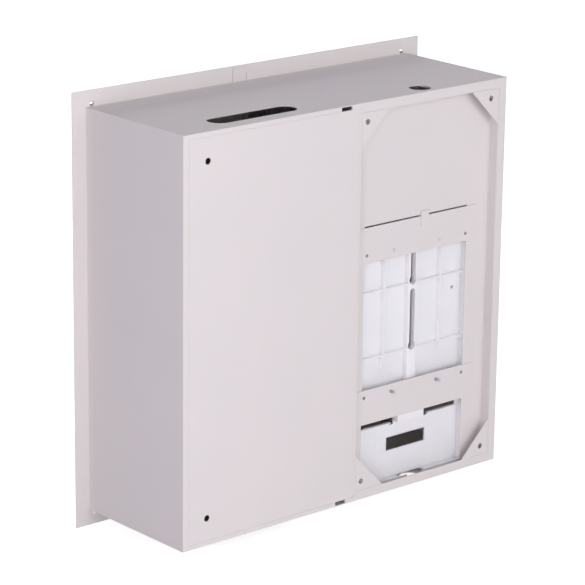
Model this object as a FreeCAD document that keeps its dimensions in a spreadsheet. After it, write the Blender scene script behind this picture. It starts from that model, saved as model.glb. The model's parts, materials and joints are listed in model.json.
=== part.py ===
import FreeCAD, Part
import math
import os
import re
import Sketcher

# Flush-mounted electric meter box, in millimetres.
# X runs to the right of someone facing the doors, Y runs from the doors into the wall, Z runs up.
# The origin is below the middle of the whole box, level with the flange's lower edge.
# The meter compartment is on the left of that person and the distribution compartment on the right.

doc = FreeCAD.newDocument("ElectricMeterBox")
sheet = doc.addObject("Spreadsheet::Sheet", "Sizes")
size_names = []


def size(alias, millimetres):
    """Write one driving dimension into the sheet."""
    size_names.append(alias)
    cell = "A%d" % len(size_names)
    sheet.set(cell, str(float(millimetres)))
    sheet.setAlias(cell, alias)


# Body
body_width = 510
body_height = 500
body_depth = 182
size("body_width", body_width)
size("body_height", body_height)
size("body_depth", body_depth)
size("flange_overhang", 20)
size("steel", 1.2)
size("seam", 0.15)
size("fit_gap", 0.3)
size("rear_bend_radius", 1.1)

# Rear rim, back plate and partition
size("meter_rim", 12)
size("distribution_side_rim", 8)
size("distribution_end_rim", 6)
size("back_lap", 4.5)
size("back_joggle", 2)
size("partition_from_middle", 15)
size("partition_strip", 4)
size("partition_flange", 12)
size("pass_hole_length", 44)
size("pass_hole_width", 26)
size("pass_hole_inset", 62)
size("pass_hole_from_rear", 57)
size("back_hole_radius", 4)
size("back_hole_side_inset", 35.5)
size("back_hole_end_inset", 34.5)
size("seam_notch_width", 16.5)
size("seam_notch_start", 1)
size("gusset_leg", 45)
size("anchor_hole_radius", 3.5)
size("anchor_inner_inset", 9.3)
size("anchor_outer_inset", 14.2)
size("anchor_end_inset", 11.9)

# Cable entries, the same in roof and floor
size("cable_slot_length", 128)
size("cable_slot_width", 30)
size("cable_slot_from_middle", 125.5)
size("cable_slot_from_rear", 35)
size("cable_hole_radius", 13.75)
size("cable_hole_from_middle", 127)
size("cable_hole_from_rear", 21)
size("plate_relief_depth", 12)

# Meter plate and crossbars
size("plate_recess", 13.6)
size("plate_flange", 15)
size("meter_axis", 120.5)
size("window_width", 171)
size("window_floor", 8)
size("window_roof", 342.5)
size("window_tab_width", 13)
size("window_tab_offset", 12)
size("window_tab_drop", 3)
size("window_tab_rise", 5)
size("window_tab_lap", 14)
size("crossbar_thick", 1.5)
size("crossbar_length", 201)
size("crossbar_height", 44.4)
size("crossbar_slit", 1.4)
size("lower_bar_top", 134.6)
size("bar_hole_inset", 9.6)
size("bar_hole_radius", 2.2)
size("inner_bolt_reach", 38)
size("outer_hole_reach", 82.5)
size("board_bolt_radius", 2)
size("board_bolt_head_radius", 4)
size("board_bolt_head_thick", 2.4)
size("stud_length", 7)

# Moulded meter board
size("board_width", 180)
size("board_height", 332)
size("board_lift", 4.5)
size("board_depth", 11.2)
size("board_web", 2.5)
size("board_wall", 2.5)
size("board_corner", 6)
size("rib_thick", 1.8)
size("rib_reach", 47)
size("low_rib_height", 171)
size("high_rib_height", 255)
size("rib_tail", 19)
size("rib_rise", 6.4)
size("channel_half_width", 7.5)
size("channel_wall", 2.2)
size("channel_crown", 7.4)
size("channel_foot", 96)
size("meter_slot_half_width", 4.1)
size("meter_slot_top", 322)
size("meter_slot_bridge", 6)
size("keyhole_radius", 5.8)
size("keyhole_rise", 5)
size("side_slot_foot", 79.3)
size("side_slot_top", 86.8)
size("side_slot_gap", 7.2)
size("side_slot_left_reach", 76.6)
size("side_slot_right_reach", 83.8)
size("side_slot_notch_width", 6.3)
size("side_slot_notch_depth", 3.7)
size("side_slot_lip", 1.5)
size("side_slot_lip_rise", 2.2)
size("centre_pad_half_width", 22)
size("centre_pad_foot", 79.8)
size("centre_pad_height", 8)
size("cable_window_width", 65.5)
size("cable_window_height", 17.3)
size("cable_window_offset", 0.7)
size("cable_window_foot", 42.5)
size("knockout_radius", 10.1)
size("knockout_reach", 49.2)
size("mould_mark_depth", 0.3)
size("mould_mark_width", 0.8)
size("ejector_radius", 3.6)
size("ejector_reach", 71.5)
size("ejector_low", 178)
size("ejector_high", 235)
size("gate_mark_radius", 4)
size("gate_mark_height", 69.5)
size("floor_notch_radius", 23.3)
size("boss_radius", 5)

# Front frame
size("door_side_margin", 12)
size("door_end_margin", 14)
size("mullion_left", 13)
size("mullion_right", 35)
size("post_left", 11)
size("post_right", 33.4)
size("post_depth", 16.8)
size("post_lip", 8)
size("post_low_tab_left", 0.5)
size("post_low_tab_right", 11.6)
size("post_low_tab_rise", 10)
size("post_high_tab_left", 13.4)
size("post_high_tab_rise", 17.5)
size("relief_notch_left", 14.7)
size("relief_notch_right", 10.7)
size("rivet_from_side", 8.5)
size("rivet_rise", 3.8)
size("rivet_head_radius", 3.6)
size("rivet_dome_radius", 4.4)
size("rivet_shank_radius", 2)
size("rivet_front_radius", 3.6)
size("rivet_front_thick", 0.8)
size("frame_pad_thick", 0.4)
size("frame_pad_width", 10.5)
size("frame_pad_height", 18)
size("frame_pad_gap", 5)
size("frame_pad_drop", 12)

# Doors and hinges
size("door_gap", 1.5)
size("hinge_side_gap", 2)
size("door_depth", 12)
size("hinge_inset", 8)
size("hinge_setback", 6.5)
size("hinge_pin_radius", 2)
size("running_fit", 0.08)
size("hinge_pin_reach", 6)
size("hinge_pin_head_radius", 3)
size("hinge_pin_head_thick", 1.5)
size("hinge_play", 0.5)
size("bracket_thick", 2)
size("bracket_half_width", 7)
size("bracket_depth", 12)
size("bracket_height", 13)

# Meter window
size("pane_window_margin", 43.25)
size("pane_window_height", 150)
size("pane_window_corner", 12)
size("pane_window_middle", 290)
size("seal_lip", 5)
size("seal_inner_lip", 8)
size("seal_lip_thick", 1.4)
size("seal_core", 4)
size("pane_thick", 1.9)
size("pane_play", 0.05)

# Locks
size("lock_inset", 22)
size("lock_flange_radius", 12)
size("lock_flange", 2)
size("lock_body_radius", 9)
size("lock_body_length", 19.2)
size("lock_recess_radius", 7)
size("lock_recess_depth", 7)
size("lock_nut_across", 24)
size("lock_nut_thick", 3)
size("plug_radius", 5)
size("plug_collar_radius", 6.6)
size("plug_collar_thick", 1.2)
size("plug_play", 0.1)
size("plug_head_radius", 4.6)
size("plug_head_height", 4.5)
size("plug_square", 6.5)
size("cam_gap", 0.4)
size("cam_thick", 2)
size("cam_half_width", 7)
size("cam_reach", 34)
size("cam_screw_radius", 2)
size("cam_screw_depth", 8)
size("cam_screw_head_radius", 4.5)
size("cam_screw_head_thick", 2)
size("cam_slot_play", 2)

# Distribution compartment
size("cover_setback", 25)
size("cover_edge_gap", 3)
size("cover_flange", 10)
size("module_slot_margin", 11)
size("module_slot_height", 46)
size("module_depth", 45)
size("rail_pitch", 130)
size("rail_middle", 250)
size("rail_height", 35)
size("rail_web_height", 27)
size("rail_depth", 7.5)
size("rail_sheet", 1)
size("rail_end_gap", 0.5)
size("rail_hole_length", 15)
size("rail_hole_width", 5.2)
size("rail_hole_pitch", 25)
size("support_sheet", 1.5)
size("support_side", 20)
size("support_face", 20)
size("support_end_gap", 10)
size("fixing_inset", 10)
size("fixing_radius", 2.4)
size("fixing_head_radius", 4.4)
size("fixing_head_thick", 2.6)
size("fixing_clearance", 0.2)
size("fixing_tail", 4)
size("post_radius", 4.5)
size("cover_post_inset", 8)
size("cover_screw_radius", 2)
size("cover_screw_depth", 10)
size("cover_screw_head_radius", 5)
size("cover_screw_head_thick", 3)
size("strip_inset", 45)
size("strip_height", 20)
size("holder_width", 12)
size("holder_depth", 20)
size("holder_height", 14)
size("terminal_bar_length", 144)
size("terminal_bar_height", 10)
size("terminal_bar_depth", 7)
size("terminal_pitch", 12.5)
size("terminal_wire_radius", 2.3)
size("terminal_screw_radius", 2)
size("terminal_screw_head_radius", 2.9)
size("terminal_screw_head_thick", 1.6)
size("terminal_screw_reach", 1.5)

# Earth stud
size("stud_radius", 3)
size("stud_reach", 20)
size("stud_collar_radius", 6)
size("stud_collar_thick", 1.5)
size("stud_height", 60)
size("stud_setback", 60)
size("stud_nut_across", 10)
size("stud_nut_thick", 5)

doc.recompute()

# Counts that no length sets
rail_hole_count = 8
terminal_count = 10

# Levels and planes that several pieces share, each a formula of the sizes
flange_rear = "((steel + lock_flange - body_depth) / 2)"
flange_front = "(%s - steel)" % flange_rear
body_rear = "(%s + body_depth)" % flange_rear
side = "(body_width / 2)"
inner_side = "(body_width / 2 - steel)"
body_floor = "flange_overhang"
body_roof = "(flange_overhang + body_height)"
inner_floor = "(flange_overhang + steel)"
inner_roof = "(flange_overhang + body_height - steel)"
rim_front = "(%s - steel)" % body_rear
partition_left = "(-partition_from_middle)"
partition_right = "(steel - partition_from_middle)"
strip_right = "(partition_strip - partition_from_middle)"
meter_left = "(meter_rim - %s)" % side
meter_low = "(%s + meter_rim)" % body_floor
meter_high = "(%s - meter_rim)" % body_roof
plate_rear = "(%s - plate_recess)" % body_rear
plate_front = "(%s - steel)" % plate_rear
crossbar_rear = "(%s + crossbar_thick)" % plate_rear
board_front = "(%s - board_depth)" % plate_front
web_rear = "(%s + board_web)" % board_front
axis_x = "(-meter_axis)"
upper_bar_top = "(window_roof - crossbar_slit)"
upper_hole_height = "(%s + window_roof - crossbar_slit - crossbar_height + bar_hole_inset)" % body_floor
lower_hole_height = "(%s + lower_bar_top - bar_hole_inset)" % body_floor
door_floor = "(%s + door_end_margin + door_gap)" % body_floor
door_roof = "(%s - door_end_margin - door_gap)" % body_roof
door_back = "(%s + door_depth)" % flange_front
hinge_x = "(%s - door_side_margin - hinge_side_gap - hinge_inset)" % side
hinge_y = "(%s + hinge_setback)" % flange_front
lock_height = "(%s + body_height / 2)" % body_floor
meter_lock_x = "(-mullion_left - door_gap - lock_inset)"
distribution_lock_x = "(mullion_right + door_gap + lock_inset)"
partition_front = "(%s + post_depth)" % flange_rear
cam_front = "(%s + lock_body_length + cam_gap)" % flange_front
cam_back = "(%s + cam_thick)" % cam_front
cover_front = "(%s + cover_setback)" % flange_rear
cover_left = "(mullion_right + cover_edge_gap)"
cover_right = "(%s - door_side_margin - cover_edge_gap)" % side
cover_rear = "(%s + steel)" % cover_front
rail_base = "(%s + module_depth + rail_depth)" % cover_front
left_fixing_x = "(%s + fixing_inset)" % partition_right
right_fixing_x = "(%s - fixing_inset)" % inner_side

towards = {
    "x": FreeCAD.Rotation(FreeCAD.Vector(0, 1, 0), 90),
    "y": FreeCAD.Rotation(FreeCAD.Vector(1, 0, 0), -90),
    "z": FreeCAD.Rotation(),
}


def formula(text):
    """Point every size name in a formula at the sheet."""
    return re.sub(r"[a-z][a-z_]+", lambda word: named(word.group()), text)


def named(word):
    """Give the sheet's name for a size, and any other word as it is."""
    if word in size_names:
        return "Sizes." + word
    return word


def number(text):
    """Work out a formula now, as a place to start drawing from."""
    return float(sheet.evalExpression(formula(text)))


def bind(item, slot, text):
    """Tie a property to a formula of the sizes."""
    item.setExpression(slot, formula(text))


def finish_part(item, label):
    """Give a finished sub-part the name of its file."""
    item.Label = label
    return item


# Sketches, pads and pockets

def new_body(label):
    return finish_part(doc.addObject("PartDesign::Body", label), label)


def sketch_on(part, role, offset):
    """Start a sketch parallel to one of the part's own planes."""
    plane = [item for item in part.Origin.OriginFeatures if item.Role == role][0]
    sketch = part.newObject("Sketcher::SketchObject", part.Name + "_sketch")
    sketch.AttachmentSupport = [(plane, "")]
    sketch.MapMode = "FlatFace"
    bind(sketch, "AttachmentOffset.Base.z", offset)
    return sketch


def upright(part, depth):
    """A sketch in X and Z, seen from the doors, at a given Y."""
    return sketch_on(part, "XZ_Plane", "-(%s)" % depth)


def level(part, height):
    """A sketch in X and Y at a given Z."""
    return sketch_on(part, "XY_Plane", height)


def sideways(part, across):
    """A sketch in Y and Z at a given X."""
    return sketch_on(part, "YZ_Plane", across)


def fix_point(sketch, index, end, corner):
    """Hold one point of the sketch at a pair of formulas."""
    for kind, text in zip(("DistanceX", "DistanceY"), corner):
        place = sketch.addConstraint(Sketcher.Constraint(kind, index, end, number(text)))
        bind(sketch, "Constraints[%d]" % place, text)


def outline(sketch, corners):
    """Draw a closed outline of straight lines through corners given as formulas."""
    first = sketch.GeometryCount
    points = [FreeCAD.Vector(number(x), number(y), 0) for x, y in corners]
    count = len(points)
    for index in range(count):
        sketch.addGeometry(Part.LineSegment(points[index], points[(index + 1) % count]))
    for index in range(count):
        following = first + (index + 1) % count
        sketch.addConstraint(Sketcher.Constraint("Coincident", first + index, 2, following, 1))
        fix_point(sketch, first + index, 1, corners[index])
    return sketch


def rectangle(sketch, left, low, right, high):
    return outline(sketch, [(left, low), (right, low), (right, high), (left, high)])


def circle(sketch, x, y, radius):
    centre = FreeCAD.Vector(number(x), number(y), 0)
    index = sketch.addGeometry(Part.Circle(centre, FreeCAD.Vector(0, 0, 1), number(radius)))
    fix_point(sketch, index, 3, (x, y))
    place = sketch.addConstraint(Sketcher.Constraint("Radius", index, number(radius)))
    bind(sketch, "Constraints[%d]" % place, radius)
    return sketch


def arc(sketch, centre, radius, start):
    """Add half a turn of arc, from the start angle on."""
    ring = Part.Circle(centre, FreeCAD.Vector(0, 0, 1), radius)
    return sketch.addGeometry(Part.ArcOfCircle(ring, start, start + math.pi))


def oblong(sketch, start, end, radius):
    """Draw a round-ended slot between two centres."""
    here = FreeCAD.Vector(number(start[0]), number(start[1]), 0)
    there = FreeCAD.Vector(number(end[0]), number(end[1]), 0)
    run = there - here
    turn = math.atan2(run.y, run.x)
    reach = number(radius)
    across = FreeCAD.Vector(-math.sin(turn), math.cos(turn), 0) * reach
    top = sketch.addGeometry(Part.LineSegment(here + across, there + across))
    far = arc(sketch, there, reach, turn - math.pi / 2)
    foot = sketch.addGeometry(Part.LineSegment(there - across, here - across))
    near = arc(sketch, here, reach, turn + math.pi / 2)
    for pair in ((top, 2, far, 2), (far, 1, foot, 1), (foot, 2, near, 2), (near, 1, top, 1)):
        sketch.addConstraint(Sketcher.Constraint("Tangent", *pair))
    sketch.addConstraint(Sketcher.Constraint("Equal", far, near))
    fix_point(sketch, far, 3, end)
    fix_point(sketch, near, 3, start)
    place = sketch.addConstraint(Sketcher.Constraint("Radius", far, reach))
    bind(sketch, "Constraints[%d]" % place, radius)
    return sketch


def pad(sketch, thickness, backwards=False):
    """Thicken a sketch: upright ones grow towards the doors unless backwards is set."""
    part = sketch.getParentGeoFeatureGroup()
    solid = part.newObject("PartDesign::Pad", part.Name + "_pad")
    solid.Profile = sketch
    solid.Reversed = backwards
    bind(solid, "Length", thickness)
    return solid


def pocket(sketch, depth, backwards=False):
    """Sink a sketch: upright ones sink away from the doors unless backwards is set."""
    part = sketch.getParentGeoFeatureGroup()
    hole = part.newObject("PartDesign::Pocket", part.Name + "_pocket")
    hole.Profile = sketch
    hole.Reversed = backwards
    bind(hole, "Length", depth)
    return hole


def cut_through(sketch):
    """Cut a sketch right through the part, both ways."""
    part = sketch.getParentGeoFeatureGroup()
    hole = part.newObject("PartDesign::Pocket", part.Name + "_cut")
    hole.Profile = sketch
    hole.Type = "ThroughAll"
    hole.SideType = "Symmetric"
    return hole


def round_edges(part, radius, chosen):
    """Round the edges of a part that a test picks by their place."""
    doc.recompute()
    rounded = part.Tip
    edges = rounded.Shape.Edges
    names = ["Edge%d" % (index + 1) for index, edge in enumerate(edges) if chosen(edge)]
    fillet = part.newObject("PartDesign::Fillet", part.Name + "_round")
    fillet.Base = (rounded, names)
    bind(fillet, "Radius", radius)
    return fillet


# Primitives and their joining

def place_at(item, corner, direction="z"):
    """Turn a primitive along an axis and hold it at three formulas."""
    item.Placement = FreeCAD.Placement(FreeCAD.Vector(), towards[direction])
    for axis, text in zip("xyz", corner):
        bind(item, "Placement.Base." + axis, text)
    return item


def block(low, extent):
    """A box from its lowest corner."""
    item = doc.addObject("Part::Box", "block")
    for slot, text in zip(("Length", "Width", "Height"), extent):
        bind(item, slot, text)
    return place_at(item, low)


def rod(start, direction, radius, length):
    """A round bar from the middle of its first end."""
    item = doc.addObject("Part::Cylinder", "rod")
    bind(item, "Radius", radius)
    bind(item, "Height", length)
    return place_at(item, start, direction)


def hexagon(start, direction, across, length):
    """A six-sided bar with a given size across its flats."""
    item = doc.addObject("Part::Prism", "hexagon")
    item.Polygon = 6
    bind(item, "Circumradius", "(%s) / 2 / cos(30)" % across)
    bind(item, "Height", length)
    return place_at(item, start, direction)


def fuse(items):
    joined = doc.addObject("Part::MultiFuse", "joined")
    joined.Shapes = items
    return joined


def cut(base, tool):
    rest = doc.addObject("Part::Cut", "rest")
    rest.Base = base
    rest.Tool = tool
    return rest


def group(label, items):
    """Keep like pieces together as separate solids of one sub-part."""
    together = doc.addObject("Part::Compound", label)
    together.Links = items
    return finish_part(together, label)


# Housing

def make_end_sheet(label, outer, inner, inwards):
    """Roof or floor: a sheet folded at the rear, with the cable entries and the post's notches."""
    part = new_body(label)
    face = upright(part, body_rear)
    rectangle(face, "-" + side, outer, side, inner)
    pad(face, "body_depth")
    rim = upright(part, body_rear)
    meter_level = "(%s %s meter_rim)" % (outer, inwards)
    distribution_level = "(%s %s distribution_end_rim)" % (outer, inwards)
    outline(rim, [
        ("-" + side, outer),
        (side, outer),
        (side, distribution_level),
        (partition_left, distribution_level),
        (partition_left, meter_level),
        ("-" + side, meter_level),
    ])
    pad(rim, "steel")
    notch = upright(part, body_rear)
    notch_right = "(seam_notch_start + seam_notch_width)"
    rectangle(notch, "seam_notch_start", inner, notch_right, distribution_level)
    pocket(notch, "steel", True)
    cut_through(cable_entries(part, outer))
    cut_through(post_slots(part, outer))
    round_edges(part, "rear_bend_radius", on_rear_outline)
    return part


def make_side_wall(label, sign, rim_width, end_rim):
    """Side sheet folded at the rear, between the rims of roof and floor."""
    part = new_body(label)
    outer = "(%s %s)" % (sign, side)
    face = upright(part, rim_front)
    rectangle(face, outer, inner_floor, "(%s %s)" % (sign, inner_side), inner_roof)
    pad(face, "(body_depth - steel)")
    rim = upright(part, body_rear)
    rim_edge = "(%s (%s - %s))" % (sign, side, rim_width)
    low = "(%s + %s)" % (body_floor, end_rim)
    rectangle(rim, outer, low, rim_edge, "(%s - %s)" % (body_roof, end_rim))
    pad(rim, "steel")
    round_edges(part, "rear_bend_radius", on_rear_outline)
    return part


def on_rear_outline(edge):
    """Pick the outer edges of the rear face."""
    box = edge.BoundBox
    at_rear = box.YMin > number(body_rear) - 0.01
    at_side = abs(abs(box.Center.x) - number(side)) < 0.01
    at_end = min(abs(box.Center.z - number(body_floor)), abs(box.Center.z - number(body_roof))) < 0.01
    return at_rear and (at_side or at_end)


def cable_entries(part, height):
    """The oblong slot and the round hole, seen from above."""
    entries = level(part, height)
    middle = "(%s - cable_slot_from_rear)" % body_rear
    reach = "(cable_slot_length - cable_slot_width) / 2"
    left = "(cable_slot_from_middle - %s)" % reach
    right = "(cable_slot_from_middle + %s)" % reach
    oblong(entries, (left, middle), (right, middle), "cable_slot_width / 2")
    round_middle = "(%s - cable_hole_from_rear)" % body_rear
    return circle(entries, "-cable_hole_from_middle", round_middle, "cable_hole_radius")


def post_slots(part, height):
    """Notches in the front edge for the post's tabs and for its left corner."""
    slots = level(part, height)
    back = "(%s + steel + fit_gap)" % flange_rear
    left = "(post_low_tab_left + fit_gap) * -1"
    rectangle(slots, left, flange_rear, "post_right + fit_gap", back)
    return rectangle(slots, "-relief_notch_left", flange_rear, "-relief_notch_right", back)


def seam_notches(part):
    """Two notches in the back panel's margin, behind those in the rims of roof and floor."""
    notches = upright(part, body_rear)
    right = "(seam_notch_start + seam_notch_width)"
    low = "(%s + distribution_end_rim)" % body_floor
    high = "(%s - distribution_end_rim)" % body_roof
    rectangle(notches, "seam_notch_start", inner_floor, right, low)
    return rectangle(notches, "seam_notch_start", high, right, inner_roof)


def make_distribution_back():
    """Back panel flush with the rim, with a stepped margin that laps under it."""
    part = new_body("distribution_back")
    left = "(%s + seam)" % strip_right
    right = "(%s - distribution_side_rim - seam)" % side
    low = "(%s + distribution_end_rim + seam)" % body_floor
    high = "(%s - distribution_end_rim - seam)" % body_roof
    rectangle_of = upright(part, body_rear)
    rectangle(rectangle_of, left, low, right, high)
    pad(rectangle_of, "steel")
    margin = upright(part, rim_front)
    margin_left = "(%s + fit_gap)" % partition_right
    reach = "(distribution_end_rim - back_lap)"
    rectangle(
        margin,
        margin_left,
        "(%s + %s)" % (body_floor, reach),
        "(%s - distribution_side_rim + back_lap)" % side,
        "(%s - %s)" % (body_roof, reach),
    )
    step = "back_joggle"
    rectangle(
        margin,
        "(%s + %s)" % (left, step),
        "(%s + %s)" % (low, step),
        "(%s - %s)" % (right, step),
        "(%s - %s)" % (high, step),
    )
    pad(margin, "steel")
    holes = upright(part, body_rear)
    across = "(%s - back_hole_side_inset)" % side
    circle(holes, across, "(%s + back_hole_end_inset)" % body_floor, "back_hole_radius")
    circle(holes, across, "(%s - back_hole_end_inset)" % body_roof, "back_hole_radius")
    cut_through(holes)
    cut_through(seam_notches(part))
    return part


def make_partition_wall():
    """Upright wall between the compartments, folded on all four sides, with a slot for the lock."""
    part = new_body("partition_wall")
    web = upright(part, rim_front)
    rectangle(web, partition_left, inner_floor, partition_right, inner_roof)
    pad(web, "(body_depth - post_depth - steel)")
    front_fold = upright(part, partition_front)
    rectangle(front_fold, partition_left, inner_floor, "(post_lip - post_left)", inner_roof)
    pad(front_fold, "steel", True)
    folds = upright(part, "(%s - 3 * steel)" % body_rear)
    fold_right = "(%s + partition_flange)" % partition_right
    rectangle(folds, partition_left, inner_floor, fold_right, "(%s + steel)" % inner_floor)
    rectangle(folds, partition_left, "(%s - steel)" % inner_roof, fold_right, inner_roof)
    pad(folds, "(body_depth - post_depth - 3 * steel)")
    strip = upright(part, body_rear)
    low = "(%s + distribution_end_rim + seam)" % body_floor
    high = "(%s - distribution_end_rim - seam)" % body_roof
    rectangle(strip, partition_left, low, strip_right, high)
    pad(strip, "steel")
    holes = sideways(part, partition_left)
    middle = "(%s - pass_hole_from_rear)" % body_rear
    reach = "(pass_hole_length - pass_hole_width) / 2"
    for height in (
        "(%s + pass_hole_inset)" % body_floor,
        "(%s - pass_hole_inset)" % body_roof,
    ):
        start = ("(%s - %s)" % (middle, reach), height)
        end = ("(%s + %s)" % (middle, reach), height)
        oblong(holes, start, end, "pass_hole_width / 2")
    cut_through(holes)
    cam_slot = sideways(part, partition_left)
    slot_foot = "(%s - cam_reach - cam_slot_play)" % lock_height
    slot_top = "(%s + cam_half_width + cam_slot_play)" % lock_height
    slot_back = "(%s + cam_slot_play)" % cam_back
    rectangle(cam_slot, "(%s + steel)" % partition_front, slot_foot, slot_back, slot_top)
    cut_through(cam_slot)
    return part


def make_meter_plate():
    """Recessed plate with three edges folded forward and one back to the rim, and the board's window."""
    part = new_body("meter_plate")
    left = "(%s + seam)" % meter_left
    face = upright(part, plate_rear)
    rectangle(face, left, inner_floor, partition_left, inner_roof)
    pad(face, "steel")
    edge = upright(part, plate_front)
    fold_low = "(%s + steel)" % inner_floor
    fold_high = "(%s - steel)" % inner_roof
    fold_right = "(%s - steel)" % partition_left
    outline(edge, [
        (left, inner_floor),
        (partition_left, inner_floor),
        (partition_left, inner_roof),
        (left, inner_roof),
        (left, fold_high),
        (fold_right, fold_high),
        (fold_right, fold_low),
        (left, fold_low),
    ])
    pad(edge, "plate_flange")
    upstand = upright(part, body_rear)
    low = "(%s + seam)" % meter_low
    rectangle(upstand, left, low, "(%s + steel)" % left, "(%s - seam)" % meter_high)
    pad(upstand, "plate_recess")
    window = upright(part, plate_rear)
    window_left = "(%s - window_width / 2)" % axis_x
    window_right = "(%s + window_width / 2)" % axis_x
    low = "(%s + window_floor)" % body_floor
    high = "(%s + window_roof)" % body_floor
    tab_left = "(%s - window_tab_offset - window_tab_width / 2)" % axis_x
    tab_right = "(%s - window_tab_offset + window_tab_width / 2)" % axis_x
    tab_foot = "(%s - window_tab_drop)" % high
    outline(window, [
        (window_left, low),
        (window_right, low),
        (window_right, high),
        (tab_right, high),
        (tab_right, tab_foot),
        (tab_left, tab_foot),
        (tab_left, high),
        (window_left, high),
    ])
    cut_through(window)
    add_window_tab(part, tab_left, tab_right, high)
    entry_middle = "(%s - cable_hole_from_rear)" % body_rear
    for height, upwards in ((inner_floor, True), (inner_roof, False)):
        relief = level(part, height)
        circle(relief, "-cable_hole_from_middle", entry_middle, "(cable_hole_radius + fit_gap)")
        pocket(relief, "plate_relief_depth", upwards)
    return part


def add_window_tab(part, left, right, height):
    """Joggled tab above the board's window, which laps over the upper crossbar."""
    lap = upright(part, "(%s + steel)" % crossbar_rear)
    top = "(%s + window_tab_rise)" % height
    rectangle(lap, left, "(%s - window_tab_lap)" % height, right, top)
    pad(lap, "steel")
    root = upright(part, crossbar_rear)
    rectangle(root, left, height, right, top)
    pad(root, "crossbar_thick")


def make_gusset(label, corner_x, inwards, corner_z, upwards):
    """Triangular corner plate, flush with the rim, with a wall hole."""
    part = new_body(label)
    lap = "seam"
    inset = "anchor_inner_inset"
    if inwards == "+":
        lap = "(2 * seam + steel)"
        inset = "anchor_outer_inset"
    x = "(%s %s %s)" % (corner_x, inwards, lap)
    z = "(%s %s seam)" % (corner_z, upwards)
    plate = upright(part, body_rear)
    outline(plate, [
        (x, z),
        ("(%s %s gusset_leg)" % (x, inwards), z),
        (x, "(%s %s gusset_leg)" % (z, upwards)),
    ])
    pad(plate, "steel")
    hole = upright(part, body_rear)
    hole_x = "(%s %s %s)" % (corner_x, inwards, inset)
    circle(hole, hole_x, "(%s %s anchor_end_inset)" % (corner_z, upwards), "anchor_hole_radius")
    cut_through(hole)
    return part


def make_gussets():
    return [
        make_gusset("gusset_lower_outer", meter_left, "+", meter_low, "+"),
        make_gusset("gusset_lower_inner", partition_left, "-", meter_low, "+"),
        make_gusset("gusset_upper_outer", meter_left, "+", meter_high, "-"),
        make_gusset("gusset_upper_inner", partition_left, "-", meter_high, "-"),
    ]


# Meter board and its crossbars

def make_crossbar(label, top, hole_height):
    """Flat bar across the rear of the plate's window, with four holes."""
    part = new_body(label)
    bar = upright(part, crossbar_rear)
    left = "(%s - crossbar_length / 2)" % axis_x
    right = "(%s + crossbar_length / 2)" % axis_x
    high = "(%s + %s)" % (body_floor, top)
    rectangle(bar, left, "(%s - crossbar_height)" % high, right, high)
    pad(bar, "crossbar_thick")
    holes = upright(part, crossbar_rear)
    for reach in ("inner_bolt_reach", "outer_hole_reach"):
        for sign in ("-", "+"):
            circle(holes, "(%s %s %s)" % (axis_x, sign, reach), hole_height, "bar_hole_radius")
    cut_through(holes)
    return part


def make_board_screws(label, height, beyond):
    """Two screws from the front of the board through the crossbar."""
    screws = []
    length = "(%s - %s + %s)" % (crossbar_rear, board_front, beyond)
    for sign in ("-", "+"):
        x = "(%s %s inner_bolt_reach)" % (axis_x, sign)
        shank = rod((x, board_front, height), "y", "board_bolt_radius", length)
        head_start = "(%s - board_bolt_head_thick)" % board_front
        head = rod((x, head_start, height), "y", "board_bolt_head_radius", "board_bolt_head_thick")
        screws.append(fuse([shank, head]))
    return group(label, screws)


def rib(part, left, low, right, high, rise):
    """A rib or boss on the board's rear, rising from the web."""
    crest = upright(part, "(%s + %s)" % (web_rear, rise))
    rectangle(crest, left, low, right, high)
    return pad(crest, "(%s + board_web / 2)" % rise)


def make_meter_board():
    """White moulded board, open at the rear, with ribs, meter slots and cable openings."""
    part = new_body("meter_board")
    full_rise = "(board_depth - board_web)"
    half = "(board_width / 2)"
    inner = "(board_width / 2 - board_wall)"
    foot = "(%s + board_lift)" % body_floor
    top = "(%s + board_height)" % foot
    tray = upright(part, plate_front)
    rectangle(tray, "(%s - %s)" % (axis_x, half), foot, "(%s + %s)" % (axis_x, half), top)
    pad(tray, "board_depth")
    round_edges(part, "board_corner", runs_along_y)
    hollow = upright(part, plate_front)
    left = "(%s - %s)" % (axis_x, inner)
    right = "(%s + %s)" % (axis_x, inner)
    floor = "(%s + board_wall)" % foot
    roof = "(%s - board_wall)" % top
    rectangle(hollow, left, floor, right, roof)
    pocket(hollow, full_rise, True)
    add_mould_marks(part)
    add_board_ribs(part, full_rise, left, right, roof)
    add_board_openings(part, foot)
    return part


def runs_along_y(edge):
    box = edge.BoundBox
    return box.XLength < 0.01 and box.ZLength < 0.01 and box.YLength > 1


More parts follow.
